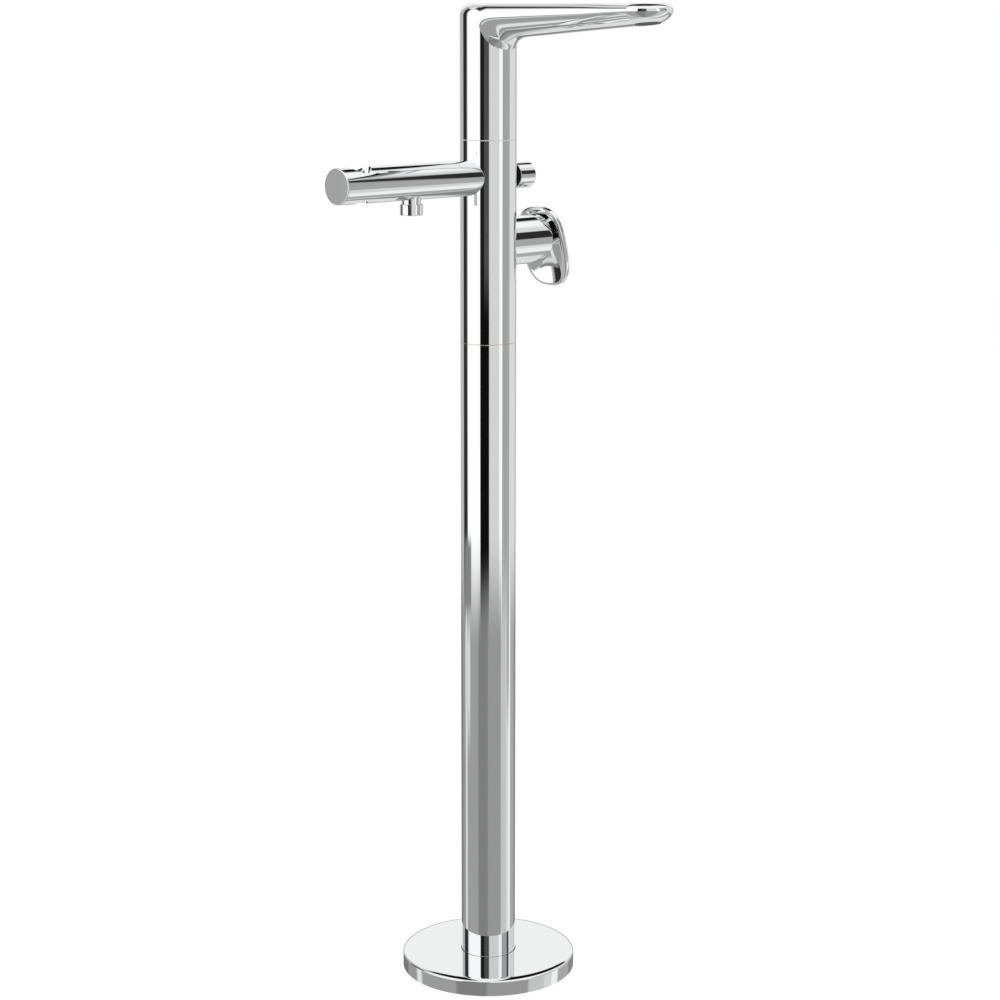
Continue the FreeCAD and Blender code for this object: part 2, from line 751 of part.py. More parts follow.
def arm_nipple():
    """Hollow nipple that screws the arm to the valve block and carries its water."""
    start = on_arm(-column_r + nipple_thread + body_wall - fixed_gap)
    nipple = rod(nipple_r, on_arm(nipple_end_x), start)
    nipple = nipple.cut(rod(nipple_bore_r, on_arm(nipple_end_x), start))
    return nipple.cut(rod(water_tube_r + fixed_gap, on_arm(nipple_end_x), on_arm(arm_plug_x)))


def arm_water_tube():
    """Tube from the nipple to the outlet block."""
    end = on_arm(outlet_block_near_x - nipple_tail)
    return pipe(water_tube_r, nipple_bore_r, end, on_arm(arm_plug_x - fixed_gap))


def outlet_block():
    """Brass block inside the arm that turns the water down into the outlet."""
    brass = rod(arm_bore_r - fixed_gap, on_arm(outlet_block_far_x), on_arm(outlet_block_near_x))
    seat = on_arm(outlet_block_near_x - nipple_tail - fixed_gap)
    brass = brass.cut(rod(water_tube_r + fixed_gap, seat, on_arm(outlet_block_near_x)))
    brass = brass.cut(rod(nipple_bore_r, on_arm(outlet_x), seat))
    neck_seat = Vector(outlet_x, 0, neck_top_z)
    brass = brass.cut(rod(outlet_neck_r + fixed_gap, Vector(outlet_x, 0, arm_z - arm_r), neck_seat))
    return brass.cut(rod(nipple_bore_r, neck_seat, on_arm(outlet_x)))


def hose_outlet_neck():
    """Neck of the hose outlet, screwed up into the outlet block."""
    low = Vector(outlet_x, 0, neck_bottom_z)
    return pipe(outlet_neck_r, outlet_neck_bore_r, low, Vector(outlet_x, 0, neck_top_z))


def hose_outlet_collar():
    """Collar on the neck, with the threaded socket that a shower hose screws into."""
    low = Vector(outlet_x, 0, collar_top_z - collar_height)
    high = Vector(outlet_x, 0, collar_top_z)
    seat = Vector(outlet_x, 0, neck_bottom_z)
    collar = rod(collar_r, low, high).cut(rod(socket_r, low, seat))
    return collar.cut(rod(outlet_neck_r + fixed_gap, seat, high))


def check_valve():
    """Plastic non-return valve inside the neck."""
    low = Vector(outlet_x, 0, neck_bottom_z + loose_gap)
    return rod(outlet_neck_bore_r - fixed_gap, low, low + UP * check_valve_length)


# Spout


def spout_spigot():
    """Brass spigot in the valve block that the head swivels on."""
    radius = core_bore_r - running_gap
    spigot = rod(radius - running_gap, on_column(swivel_bottom_z), on_column(block_top_z))
    spigot = spigot.fuse(rod(radius, on_column(block_top_z), on_column(swivel_top_z)))
    flange_top = on_column(block_top_z + swivel_flange_height)
    spigot = spigot.fuse(rod(swivel_flange_r, on_column(block_top_z), flange_top))
    for z in spigot_ring_z:
        low = on_column(z - fixed_gap)
        high = on_column(z + spigot_ring_height + fixed_gap)
        spigot = spigot.cut(pipe(radius + 1, radius - o_ring_depth, low, high))
    low, high = circlip_place(fixed_gap)
    spigot = spigot.cut(pipe(radius + 1, radius - circlip_groove, low, high))
    return spigot.cut(rod(swivel_bore_r, on_column(swivel_bottom_z), on_column(swivel_top_z)))


def circlip_place(gap):
    """Lower and upper face of the circlip, or of its groove with a gap."""
    low = core_top_z + loose_gap
    return on_column(low - gap), on_column(low + circlip_height + gap)


def spigot_o_rings():
    """Rubber rings in the spigot's grooves."""
    outer = core_bore_r - running_gap
    inner = outer - o_ring_depth + fixed_gap
    rings = [pipe(outer, inner, on_column(z), on_column(z + spigot_ring_height)) for z in spigot_ring_z]
    return group(rings)


def spout_circlip():
    """Circlip on the spigot that keeps the head down."""
    low, high = circlip_place(0)
    inner = core_bore_r - running_gap - circlip_groove + fixed_gap
    return pipe(circlip_r, inner, low, high)


def glide_ring():
    """Plastic ring in the upper seam that the head turns on."""
    outer = body_bore_r - fixed_gap
    inner = outer - glide_collar_wall
    lip = pipe(column_r - seam_inset, inner, on_column(body_top_z), on_column(head_bottom_z))
    collar = pipe(outer, inner, on_column(body_top_z - glide_collar_height), on_column(body_top_z))
    return lip.fuse(collar).removeSplitter()


def spout_core():
    """Brass core pressed into the head, with the bore that turns on the spigot."""
    outer = column_r - head_wall - fixed_gap
    return pipe(outer, core_bore_r, on_column(head_bottom_z), on_column(core_top_z))


def spout_section(reach):
    """Sizes of the spout's section at a reach from the column's axis.

    They run straight along the spout, apart from the root, where the belly sweeps down to the column, and
    the nose, where the top edge grows rounder and the belly nears an ellipse.
    """
    root = max(0.0, 1 - reach / root_reach) ** 3
    edge_root = max(0.0, 1 - reach / edge_root_reach) ** 1.5
    nose = max(0.0, 1 - (nose_centre - reach) / nose_length) ** 2
    across = spout_edge + (head_edge - spout_edge) * edge_root + (nose_edge_across - spout_edge) * nose
    down = spout_edge + (head_edge - spout_edge) * edge_root + (nose_edge_down - spout_edge) * nose
    belly_z = belly_root_z + belly_slope * reach - root_drop * root
    fullness = belly_fullness + (nose_fullness - belly_fullness) * max(nose, root ** 0.5)
    return reach, across, down, fullness, belly_z


def half_section(section, inset):
    """Edges of one half of a spout section, from the middle of its top down to the middle of its belly."""
    reach, across, down, fullness, belly_z = section
    width = spout_half_width - inset
    top = spout_top_z - inset
    belly = belly_z + inset

    def at(x, z):
        return Vector(x, -reach, z)

    def curve(*poles):
        bend = Part.BezierCurve()
        bend.setPoles(list(poles))
        return bend.toShape()

    edge_start = at(width - across, top)
    edge_end = at(width, top - down)
    flank_pole = at(width, top - down - fullness * (top - down - belly))
    return [
        Part.LineSegment(at(0, top), edge_start).toShape(),
        curve(edge_start, at(width, top), edge_end),
        curve(edge_end, flank_pole, at(width * fullness, belly), at(0, belly)),
    ]


def whole_section(section, inset):
    """Closed wire of a spout section."""
    half = half_section(section, inset)
    other = [edge.mirror(Vector(0, 0, 0), OUT) for edge in half]
    return Part.Wire(Part.__sortEdges__(half + other))


def spout_arm(inset):
    """The spout from the column to the centre of its round end, drawn in by an inset."""
    step = (nose_centre - root_start) / spout_steps
    reaches = [root_start + step * i for i in range(spout_steps + 1)]
    return Part.makeLoft([whole_section(spout_section(reach), inset) for reach in reaches], True, False)


def spout_nose():
    """The spout's round end: its last section turned half round an upright axis."""
    last = spout_section(nose_centre)
    spine_low = Vector(0, -nose_centre, last[-1])
    spine = Part.LineSegment(spine_low, Vector(0, -nose_centre, spout_top_z)).toShape()
    face = Part.Face(Part.Wire(Part.__sortEdges__(half_section(last, 0) + [spine])))
    return face.revolve(Vector(0, -nose_centre, 0), UP, -180)


def aerator_point(depth):
    """A point on the aerator's axis, at a depth from its face."""
    tilt = math.radians(aerator_tilt)
    inwards = Vector(0, math.sin(tilt), math.cos(tilt))
    return Vector(0, -aerator_reach, aerator_z) + inwards * depth


def at_root(point):
    """Whether a point is the middle of a line where the spout's flanks and belly leave the column."""
    inside = math.hypot(point.x, point.y) < column_r
    return inside and point.y < -column_r / 2 and head_bottom_z < point.z < spout_top_z - head_edge


def spout_body():
    """One casting: the head on the column's line and the hollow spout."""
    head = rod(column_r, on_column(head_bottom_z), on_column(spout_top_z))
    head = head.makeFillet(head_edge, edges_at(head, lambda p: p.z > spout_top_z - 0.1))
    casting = head.fuse(spout_arm(0)).fuse(spout_nose())
    casting = casting.makeFillet(root_blend, edges_at(casting, at_root))
    cavity_r = column_r - head_wall
    casting = casting.cut(rod(cavity_r, on_column(head_bottom_z), on_column(head_cavity_top_z)))
    casting = casting.cut(spout_arm(spout_wall))
    seat_end = aerator_point(aerator_height + aerator_seal_height)
    casting = casting.cut(rod(aerator_r + fixed_gap, aerator_point(-aerator_height), seat_end))
    middle = (spout_top_z + aerator_z) / 2
    inside = Vector(0, -nose_centre + 2 * aerator_port_r, middle)
    return casting.cut(rod(aerator_port_r / 2, aerator_point(aerator_height), inside))


def aerator_ring():
    """Dark ring that holds the aerator in the spout's end."""
    return pipe(aerator_r, aerator_r - aerator_wall, aerator_point(0), aerator_point(aerator_height))


def aerator_insert():
    """Aerator inside the ring."""
    outer = aerator_r - aerator_wall - fixed_gap
    return rod(outer, aerator_point(loose_gap), aerator_point(aerator_height))


def aerator_seal():
    """Washer between the aerator and its seat."""
    top = aerator_point(aerator_height + aerator_seal_height)
    return pipe(aerator_r, aerator_port_r, aerator_point(aerator_height), top)


nodes = {
    "floor_plate": floor_plate(),
    "foot_flange": foot_flange(),
    "foot_screws": foot_screws(),
    "base_cover": base_cover(),
    "cover_seal": cover_seal(),
    "hot_inlet_union": inlet_union(1),
    "cold_inlet_union": inlet_union(-1),
    "column_tube": column_tube(),
    "coupling_sleeve": coupling_sleeve(),
    "hot_hose": supply_hose(1),
    "cold_hose": supply_hose(-1),
    "hose_tails": hose_tails(),
    "hose_ferrules": hose_ferrules(),
    "body_shell": body_shell(),
    "valve_block": valve_block(),
    "lever_sleeve": lever_sleeve(),
    "cartridge_seals": cartridge_seals(),
    "cartridge": cartridge(),
    "cartridge_nut": cartridge_nut(),
    "cartridge_cap": cartridge_cap(),
    "cartridge_carrier": cartridge_carrier(),
    "stem_pivot_pin": stem_pivot_pin(),
    "lever_stem": lever_stem(),
    "lever": lever(),
    "lever_screw": lever_screw(),
    "diverter_gland": diverter_gland(),
    "diverter_piston": diverter_piston(),
    "piston_o_ring": piston_o_ring(),
    "piston_washer": piston_washer(),
    "diverter_spring": diverter_spring(),
    "diverter_stem": diverter_stem(),
    "knob_insert": knob_insert(),
    "diverter_knob": diverter_knob(),
    "arm_body": arm_body(),
    "arm_end_cap": arm_end_cap(),
    "arm_root_plug": arm_root_plug(),
    "arm_nipple": arm_nipple(),
    "arm_water_tube": arm_water_tube(),
    "outlet_block": outlet_block(),
    "hose_outlet_neck": hose_outlet_neck(),
    "hose_outlet_collar": hose_outlet_collar(),
    "check_valve": check_valve(),
    "spout_spigot": spout_spigot(),
    "spigot_o_rings": spigot_o_rings(),
    "spout_circlip": spout_circlip(),
    "glide_ring": glide_ring(),
    "spout_core": spout_core(),
    "spout_body": spout_body(),
    "aerator_ring": aerator_ring(),
    "aerator_insert": aerator_insert(),
    "aerator_seal": aerator_seal(),
}

os.makedirs("parts", exist_ok=True)
for name, shape in nodes.items():
    shape.exportStep("parts/" + name + ".step")
    print(name, len(shape.Solids), "solid", round(shape.Volume / 1000, 2), "cm3", shape.isValid())
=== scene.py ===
# %% [markdown]
# # A floor standing bath filler, dressed for a picture
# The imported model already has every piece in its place. This notebook keeps it as a fixed frame, puts finer
# skins over the pieces that show, gives each one a finish, and then lights and frames the whole. Lengths
# are in metres, up is +Z, the spout points along -Y, the arm along -X and the lever along +X.

import bpy
import bmesh
import json
import math
import numpy as np
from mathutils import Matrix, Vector


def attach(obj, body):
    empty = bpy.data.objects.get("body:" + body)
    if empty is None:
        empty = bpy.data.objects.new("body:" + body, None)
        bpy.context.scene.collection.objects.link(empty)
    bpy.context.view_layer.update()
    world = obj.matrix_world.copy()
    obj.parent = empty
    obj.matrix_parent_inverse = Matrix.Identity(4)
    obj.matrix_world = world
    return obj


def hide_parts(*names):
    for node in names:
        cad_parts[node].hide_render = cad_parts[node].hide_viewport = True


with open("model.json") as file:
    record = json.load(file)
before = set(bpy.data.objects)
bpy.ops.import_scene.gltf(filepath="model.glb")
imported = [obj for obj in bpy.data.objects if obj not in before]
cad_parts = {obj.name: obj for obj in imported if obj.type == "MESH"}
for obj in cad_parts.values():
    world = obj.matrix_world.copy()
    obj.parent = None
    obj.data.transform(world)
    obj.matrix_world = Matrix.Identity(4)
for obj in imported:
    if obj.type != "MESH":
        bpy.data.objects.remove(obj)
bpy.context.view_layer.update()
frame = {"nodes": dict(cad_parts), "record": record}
nodes = frame["nodes"]
MM = 0.001

# %% [markdown]
# ## The camera
# The filler was taken with a long lens from a little under the height of its spout, from the side of the
# arm and the spout. The lens, the distance and the aim were worked out from the column's edges and the oval
# of the foot. The small shift slides the picture without tilting the view.

# %% Put the camera where the picture was taken
camera_data = bpy.data.cameras.new("camera")
camera_data.lens = 86.39
camera_data.sensor_width = 36.0
camera_data.shift_x = 0.01169
camera_data.shift_y = -0.030
camera_data.clip_end = 50.0
camera = bpy.data.objects.new("camera", camera_data)
bpy.context.scene.collection.objects.link(camera)
camera.location = (-1.7794, -1.8465, 1.0625)
aim = Vector((0.6814, 0.7071, -0.1894))
camera.rotation_mode = "QUATERNION"
camera.rotation_quaternion = aim.to_track_quat("-Z", "Y")
bpy.context.scene.camera = camera
bpy.context.scene.view_settings.view_transform = "Standard"
print("camera", round(camera.location.length, 2), "m from the foot")

# %% [markdown]
# ## The studio that the chrome reflects
# Polished chrome has hardly any colour of its own: it shows its surroundings. Here those are a white room
# with upright strips of dark and grey cloth hung in it, and a duller floor. They could be cards that stand
# round the filler, but then they would get in the way of the camera in other views. So they are painted
# into the world, by compass direction and by height over the horizon. The camera itself sees plain white.

# %% Little helpers for node trees


def node(tree, kind, links=None, **values):
    """A node in a tree, with its named or numbered inputs set to values or linked to other sockets."""
    made = tree.nodes.new(kind)
    for name, value in values.items():
        setattr(made, name, value)
    for name, value in (links or {}).items():
        socket = made.inputs[name]
        if isinstance(value, bpy.types.NodeSocket):
            tree.links.new(value, socket)
        else:
            socket.default_value = value
    return made


def maths(tree, operation, *terms):
    """The result of one sum, product or function of sockets and numbers."""
    return node(tree, "ShaderNodeMath", dict(enumerate(terms)), operation=operation).outputs[0]


def product(tree, *terms):
    """All terms multiplied with each other."""
    result = terms[0]
    for term in terms[1:]:
        result = maths(tree, "MULTIPLY", result, term)
    return result


def place_of(tree):
    """Object coordinates, in metres."""
    return node(tree, "ShaderNodeTexCoord").outputs["Object"]


def noise(tree, scale, detail, **inputs):
    """Noise over object coordinates, at a number of lumps a metre."""
    links = {"Vector": place_of(tree), "Scale": scale, "Detail": detail, **inputs}
    return node(tree, "ShaderNodeTexNoise", links).outputs[0]


def steps(tree, value, stops):
    """A straight colour ramp over a value, from (place, grey) stops."""
    ramp = node(tree, "ShaderNodeValToRGB", {0: value})
    band = ramp.color_ramp.elements
    for place, grey in stops[1:-1]:
        band.new(place)
    for element, (place, grey) in zip(band, stops):
        element.position = place
        element.color = (grey, grey, grey, 1)
    return ramp.outputs[0]


print("helpers for nodes, sums, places, noise and ramps")

# %% [markdown]
# ## Strips of cloth
# A strip is given by the compass degree where it starts and by the screen tone that it has in the mirror.
# Straight behind the camera is 0 degrees, and the degrees grow to the picture's right. The column mirrors the
# high strips over most of its length, and the foot's edge and the column's lower part mirror the low ones.

# %% Say where the strips hang
mirror_white = 240


def light_of(tone):
    """The light that a screen tone from 0 to 255 stands for."""
    share = tone / 255
    return share / 12.92 if share <= 0.04045 else ((share + 0.055) / 1.055) ** 2.4


def strength_of(tone):
    """How bright the room must be for chrome to show a tone; the chrome itself turns full white into 240."""
    return light_of(tone) / light_of(mirror_white)


def share_of(degree):
    """A compass degree as a share of the whole turn that starts at -180 degrees."""
    return (degree + 180) / 360


def strips(soft, *edges):
    """Ramp stops for strips, from (first degree, tone) pairs that start at -180 degrees, with soft edges."""
    stops = [(0.0, edges[0][1])]
    for (start, tone), (_, before) in zip(edges[1:], edges[:-1]):
        stops.append((share_of(start - soft), before))
        stops.append((share_of(start + soft), tone))
    stops.append((1.0, edges[-1][1]))
    return [(place, strength_of(tone)) for place, tone in stops]


high_strips = strips(1.2, (-180, 178), (-123, 40), (-99, 158), (-94.2, 252), (-34, 26), (-17, 74), (3, 206),
                     (46, 244), (60, 158), (96, 212), (143, 178))
low_strips = strips(1.8, (-180, 116), (-138, 148), (-111.5, 220), (-101, 152), (-43, 124), (-2, 146),
                    (55, 190), (80, 206), (94, 234), (107, 163), (138, 130))
print("strips", len(high_strips) // 2, "over a low line,", len(low_strips) // 2, "under it")

# %% [markdown]
# ## The painted room
# A direction in the room is its compass share, from 0 to 1, and its height, the sine of its angle over the
# horizon. Each layer is a grey laid over the layers before it, inside a mask. A mask is a product of soft
# limits in these two numbers, which keeps every edge as soft as a real card's.

# %% Measure a direction in the room
camera_compass = 133.9
world = bpy.data.worlds.new("studio")
bpy.context.scene.world = world
world.use_nodes = True
tree = world.node_tree
tree.nodes.clear()
direction = node(tree, "ShaderNodeTexCoord").outputs["Generated"]
parts = node(tree, "ShaderNodeSeparateXYZ", {0: direction}).outputs
turn = maths(tree, "DIVIDE", maths(tree, "ARCTAN2", parts["Y"], parts["X"]), 2 * math.pi)
compass = maths(tree, "FRACT", maths(tree, "ADD", turn, share_of(camera_compass)))
height = parts["Z"]
away = maths(tree, "ABSOLUTE", maths(tree, "SUBTRACT", compass, 0.5))
print("the compass turns by", camera_compass, "degrees to start behind the camera")

# %% Make masks and layers


def rise(tree, value, low, high):
    """A smooth step from 0 to 1 as a value goes from low to high; low and high may be sockets."""
    return node(tree, "ShaderNodeMapRange", {"Value": value, "From Min": low, "From Max": high},
                interpolation_type="SMOOTHSTEP").outputs[0]


def between(tree, value, low, high, soft):
    """1 between two limits and 0 outside them, with soft edges."""
    return maths(tree, "MULTIPLY", rise(tree, value, low, maths(tree, "ADD", low, soft)),
                 rise(tree, value, maths(tree, "ADD", high, soft), high))


def facing(tree, low, high, soft=0.006):
    """1 where the compass is between two degrees."""
    return between(tree, compass, share_of(low), share_of(high), soft)


def over(tree, mask, below, above):
    """One colour laid over another where a mask is 1; the upper one may be a plain grey."""
    above = (above, above, above, 1) if isinstance(above, float) else above
    return node(tree, "ShaderNodeMix", {0: mask, 6: below, 7: above}, data_type="RGBA").outputs[2]


def layer(room, tone, *masks):
    """The room with a grey of a screen tone laid over it where all the masks are 1."""
    return over(tree, product(tree, *masks), room, strength_of(tone))


print("a layer of the tone", mirror_white, "has the strength", strength_of(mirror_white))

# %% Paint the walls
low_line = rise(tree, height, -0.262, -0.212)
room = over(tree, low_line, steps(tree, compass, low_strips), steps(tree, compass, high_strips))
# a pale board with a thin dark line over it, which the spout's side shows
room = layer(room, 208, rise(tree, height, -0.245, -0.262), facing(tree, -116, -84),
             rise(tree, height, -0.31, -0.28))
room = layer(room, 128, between(tree, height, -0.25, -0.222, 0.008), facing(tree, -116, -78))
# the black shelf at the column's lower front
room = layer(room, 14, between(tree, height, -0.25, -0.13, 0.03), facing(tree, -34, 2))
# a grey board and a dark slot over it, which run along the arm and the sleeve
room = layer(room, 162, between(tree, height, -0.30, 0.10, 0.03), facing(tree, 84, 97, 0.004))
room = layer(room, 42, between(tree, height, 0.08, 0.45, 0.03), facing(tree, 86.5, 96.5, 0.004))
print("walls", len(tree.nodes), "nodes")

# %% Paint what is behind the filler, under it and over it
room = layer(room, 234, rise(tree, away, 0.405, 0.425), rise(tree, height, 0.10, 0.22))
room = layer(room, 214, rise(tree, away, 0.335, 0.36), rise(tree, height, -0.40, -0.48))
left_sky = product(tree, facing(tree, -175, -112, 0.01), rise(tree, height, 0.90, 0.80))
ceiling = over(tree, left_sky, (1, 1, 1, 1), strength_of(208))
room = over(tree, rise(tree, height, 0.60, 0.69), room, ceiling)
# a black arch over the back, which draws the dark line along every top edge
arch_foot = steps(tree, compass, [(0.0, 0.55), (0.06, 0.69), (0.94, 0.51), (1.0, 0.55)])
room = layer(room, 20, rise(tree, away, 0.385, 0.425), between(tree, height, arch_foot, 0.955, 0.03))
print("the room's tree has", len(tree.nodes), "nodes")

# %% Choose what each kind of ray sees
mirror = node(tree, "ShaderNodeBackground", {"Color": room, "Strength": 1.0}).outputs[0]
plain = node(tree, "ShaderNodeBackground", {"Color": (1, 1, 1, 1), "Strength": 1.0}).outputs[0]
soft_light = node(tree, "ShaderNodeBackground", {"Color": (1, 1, 1, 1), "Strength": 0.72}).outputs[0]
path = node(tree, "ShaderNodeLightPath").outputs
shiny = maths(tree, "MAXIMUM", path["Is Glossy Ray"], path["Is Transmission Ray"])
not_camera = node(tree, "ShaderNodeMixShader", {0: shiny, 1: soft_light, 2: mirror}).outputs[0]
seen = node(tree, "ShaderNodeMixShader", {0: path["Is Camera Ray"], 1: not_camera, 2: plain}).outputs[0]
node(tree, "ShaderNodeOutputWorld", {0: seen})
print("the camera sees plain white, and the chrome sees the room")

# %% [markdown]
# ## The floor and the lamps
# The floor is white and runs into the white background. It has to stay white in the picture and still take
# the filler's soft shadow, so most of its white is its own glow, and a small share comes from the lamps.

# %% Lay the floor


def flat_patch(name, half):
    """A square of one face on the floor, of a half width."""
    corners = [(-half, -half, 0), (half, -half, 0), (half, half, 0), (-half, half, 0)]
    mesh = bpy.data.meshes.new(name)
    mesh.from_pydata(corners, [], [(0, 1, 2, 3)])
    made = bpy.data.objects.new(name, mesh)
    bpy.context.scene.collection.objects.link(made)
    return made


floor = flat_patch("floor", 6.0)
floor.location.z = -0.0004
floor_paint = bpy.data.materials.new("pale_floor")
floor_paint.use_nodes = True
tree = floor_paint.node_tree
tree.nodes.clear()
shade = steps(tree, noise(tree, 60.0, 6.0), [(0.3, 0.20), (0.7, 0.24)])
matt = node(tree, "ShaderNodeBsdfDiffuse", {"Color": shade}).outputs[0]
glow = node(tree, "ShaderNodeEmission", {"Color": (1, 1, 1, 1), "Strength": 0.84}).outputs[0]
both = node(tree, "ShaderNodeAddShader", {0: matt, 1: glow}).outputs[0]
plain_matt = node(tree, "ShaderNodeBsdfDiffuse", {"Color": (0.8, 0.8, 0.8, 1)}).outputs[0]
path = node(tree, "ShaderNodeLightPath").outputs
shown = maths(tree, "MAXIMUM", path["Is Camera Ray"],
              maths(tree, "MAXIMUM", path["Is Glossy Ray"], path["Is Transmission Ray"]))
mixed = node(tree, "ShaderNodeMixShader", {0: shown, 1: plain_matt, 2: both}).outputs[0]
node(tree, "ShaderNodeOutputMaterial", {0: mixed})
floor.data.materials.append(floor_paint)
floor.visible_glossy = False
print("floor", [round(side, 1) for side in floor.dimensions])

# %% Hang two soft lamps


def lamp(name, place, target, size, power):
    """A square soft lamp at a place, turned to a target, that chrome doesn't show."""
    data = bpy.data.lights.new(name, "AREA")
    data.size = size
    data.energy = power
    made = bpy.data.objects.new(name, data)
    bpy.context.scene.collection.objects.link(made)
    made.location = place
    made.rotation_mode = "QUATERNION"
    made.rotation_quaternion = (Vector(target) - Vector(place)).to_track_quat("-Z", "Y")
    made.visible_glossy = False
    return made


column_middle = (0, 0, 0.5)
lamp("key_lamp", (-2.4, -1.2, 3.0), column_middle, size=1.6, power=45)
lamp("fill_lamp", (1.8, -2.6, 2.2), column_middle, size=1.8, power=25)

# %% [markdown]
# ## Effects that several finishes share
# Even good chrome isn't the same all over: the buffing wheel leaves a faint haze, and water leaves dull
# spots. Turned brass and steel carry fine rings from the lathe, and moulded plastic has an even grain. Each
# of these is a group of nodes with its own sockets, built once and placed in every material that needs it.

# %% Build the effect groups


def effect(name, inputs, outputs):
    """A new shader node group with float inputs (name: value) and named outputs, and both its ends."""
    group = bpy.data.node_groups.new(name, "ShaderNodeTree")
    for label, value in inputs.items():
        socket = group.interface.new_socket(name=label, in_out="INPUT", socket_type="NodeSocketFloat")
        socket.default_value = value
    for label in outputs:
        group.interface.new_socket(name=label, in_out="OUTPUT", socket_type="NodeSocketFloat")
    start = group.nodes.new("NodeGroupInput").outputs
    end = group.nodes.new("NodeGroupOutput").inputs
    return group, start, end


polish, start, end = effect("polish", {"Base": 0.03, "Haze": 0.02, "Spots": 0.03}, ["Roughness", "Height"])
cloud = noise(polish, 9.0, 5.0, Roughness=0.6)
drops = node(polish, "ShaderNodeTexVoronoi", {"Vector": place_of(polish), "Scale": 130.0}).outputs[0]
dot = node(polish, "ShaderNodeMapRange", {"Value": drops, "From Min": 0.16, "From Max": 0.06}).outputs[0]
rare = node(polish, "ShaderNodeMapRange", {"Value": cloud, "From Min": 0.56, "From Max": 0.66}).outputs[0]
spotted = product(polish, dot, rare, start["Spots"])
hazed = product(polish, cloud, start["Haze"])
rough = maths(polish, "ADD", maths(polish, "ADD", start["Base"], hazed), spotted)
polish.links.new(rough, end["Roughness"])
polish.links.new(noise(polish, 900.0, 3.0), end["Height"])
print("polish", len(polish.nodes), "nodes")

# %% Build the groups for turned and moulded pieces
lathe, start, end = effect("lathe_rings", {"Pitch": 0.0004, "Depth": 1.0}, ["Height", "Tone"])
along = node(lathe, "ShaderNodeSeparateXYZ", {0: place_of(lathe)}).outputs
travel = maths(lathe, "ADD", along["Z"], product(lathe, along["X"], 0.7))
wave = maths(lathe, "SINE", maths(lathe, "DIVIDE", product(lathe, travel, 2 * math.pi), start["Pitch"]))
wander = noise(lathe, 220.0, 4.0)
lathe.links.new(product(lathe, maths(lathe, "ADD", wave, wander), start["Depth"]), end["Height"])
lathe.links.new(wander, end["Tone"])

grain, start, end = effect("moulded_grain", {"Scale": 1800.0, "Depth": 1.0}, ["Height", "Tone"])
pits = noise(grain, start["Scale"], 4.0)
grain.links.new(product(grain, pits, start["Depth"]), end["Height"])
grain.links.new(noise(grain, 25.0, 3.0), end["Tone"])
print("effects", [g.name for g in bpy.data.node_groups])

# %% [markdown]
# ## The finishes
# One material for each finish that the real filler has. The mirror finish is a metal with a nearly smooth
# surface, with its haze from the shared group. The others have two colours, and the group's tone wanders
# between them. The pieces inside have their own finishes too, for when the filler is taken apart.

# %% Start a material and place effects in it


def finish(name, colour, metallic=0.0, **extra):
    """A new material with a Principled shader; gives the material, its tree and the shader."""
    made = bpy.data.materials.new(name)
    made.use_nodes = True
    tree = made.node_tree
    tree.nodes.clear()
    links = {"Base Color": (*colour, 1), "Metallic": metallic, **extra}
    shader = node(tree, "ShaderNodeBsdfPrincipled", links)
    node(tree, "ShaderNodeOutputMaterial", {0: shader.outputs[0]})
    return made, tree, shader


def use(tree, group, **values):
    """An effect group placed in a material with its own values."""
    placed = node(tree, "ShaderNodeGroup", node_tree=group)
    for label, value in values.items():
        placed.inputs[label].default_value = value
    return placed.outputs


def raise_skin(tree, shader, height, relief):
    """Turns a height into a bump on the shader's normal; a height of 1 rises by the relief, in metres."""
    bump = node(tree, "ShaderNodeBump", {"Height": height, "Strength": 1.0, "Distance": relief})
    tree.links.new(bump.outputs[0], shader.inputs["Normal"])


def tint(tree, shader, tone, dark, light):
    """Varies the base colour between two colours by a tone."""
    blend = node(tree, "ShaderNodeMix", {0: tone, 6: (*dark, 1), 7: (*light, 1)}, data_type="RGBA")
    tree.links.new(blend.outputs[2], shader.inputs["Base Color"])


print("each material starts from a Principled shader and one of", len(bpy.data.node_groups), "effects")

# %% Make one function for each kind of finish
mirror_relief = 0.0000004
turned_relief = 0.000006
moulded_relief = 0.00002


def mirror_finish(name, colour, base, haze):
    """Polished plate: a metal whose roughness comes from the polish group."""
    made, tree, shader = finish(name, colour, 1.0)
    marks = use(tree, polish, Base=base, Haze=haze)
    tree.links.new(marks["Roughness"], shader.inputs["Roughness"])
    raise_skin(tree, shader, marks["Height"], mirror_relief)
    return made


def turned_finish(name, dark, light, roughness, pitch):
    """Turned metal: fine rings in the normal, and a colour that wanders a little."""
    made, tree, shader = finish(name, light, 1.0, Roughness=roughness)
    marks = use(tree, lathe, Pitch=pitch)
    tint(tree, shader, marks["Tone"], dark, light)
    raise_skin(tree, shader, marks["Height"], turned_relief)
    return made


def moulded_finish(name, dark, light, roughness, scale):
    """Moulded plastic or rubber: an even grain and a colour that wanders a little."""
    made, tree, shader = finish(name, light, 0.0, Roughness=roughness)
    marks = use(tree, grain, Scale=scale)
    tint(tree, shader, marks["Tone"], dark, light)
    raise_skin(tree, shader, marks["Height"], moulded_relief)
    return made


print("relief in micrometres", mirror_relief * 1e6, turned_relief * 1e6, moulded_relief * 1e6)

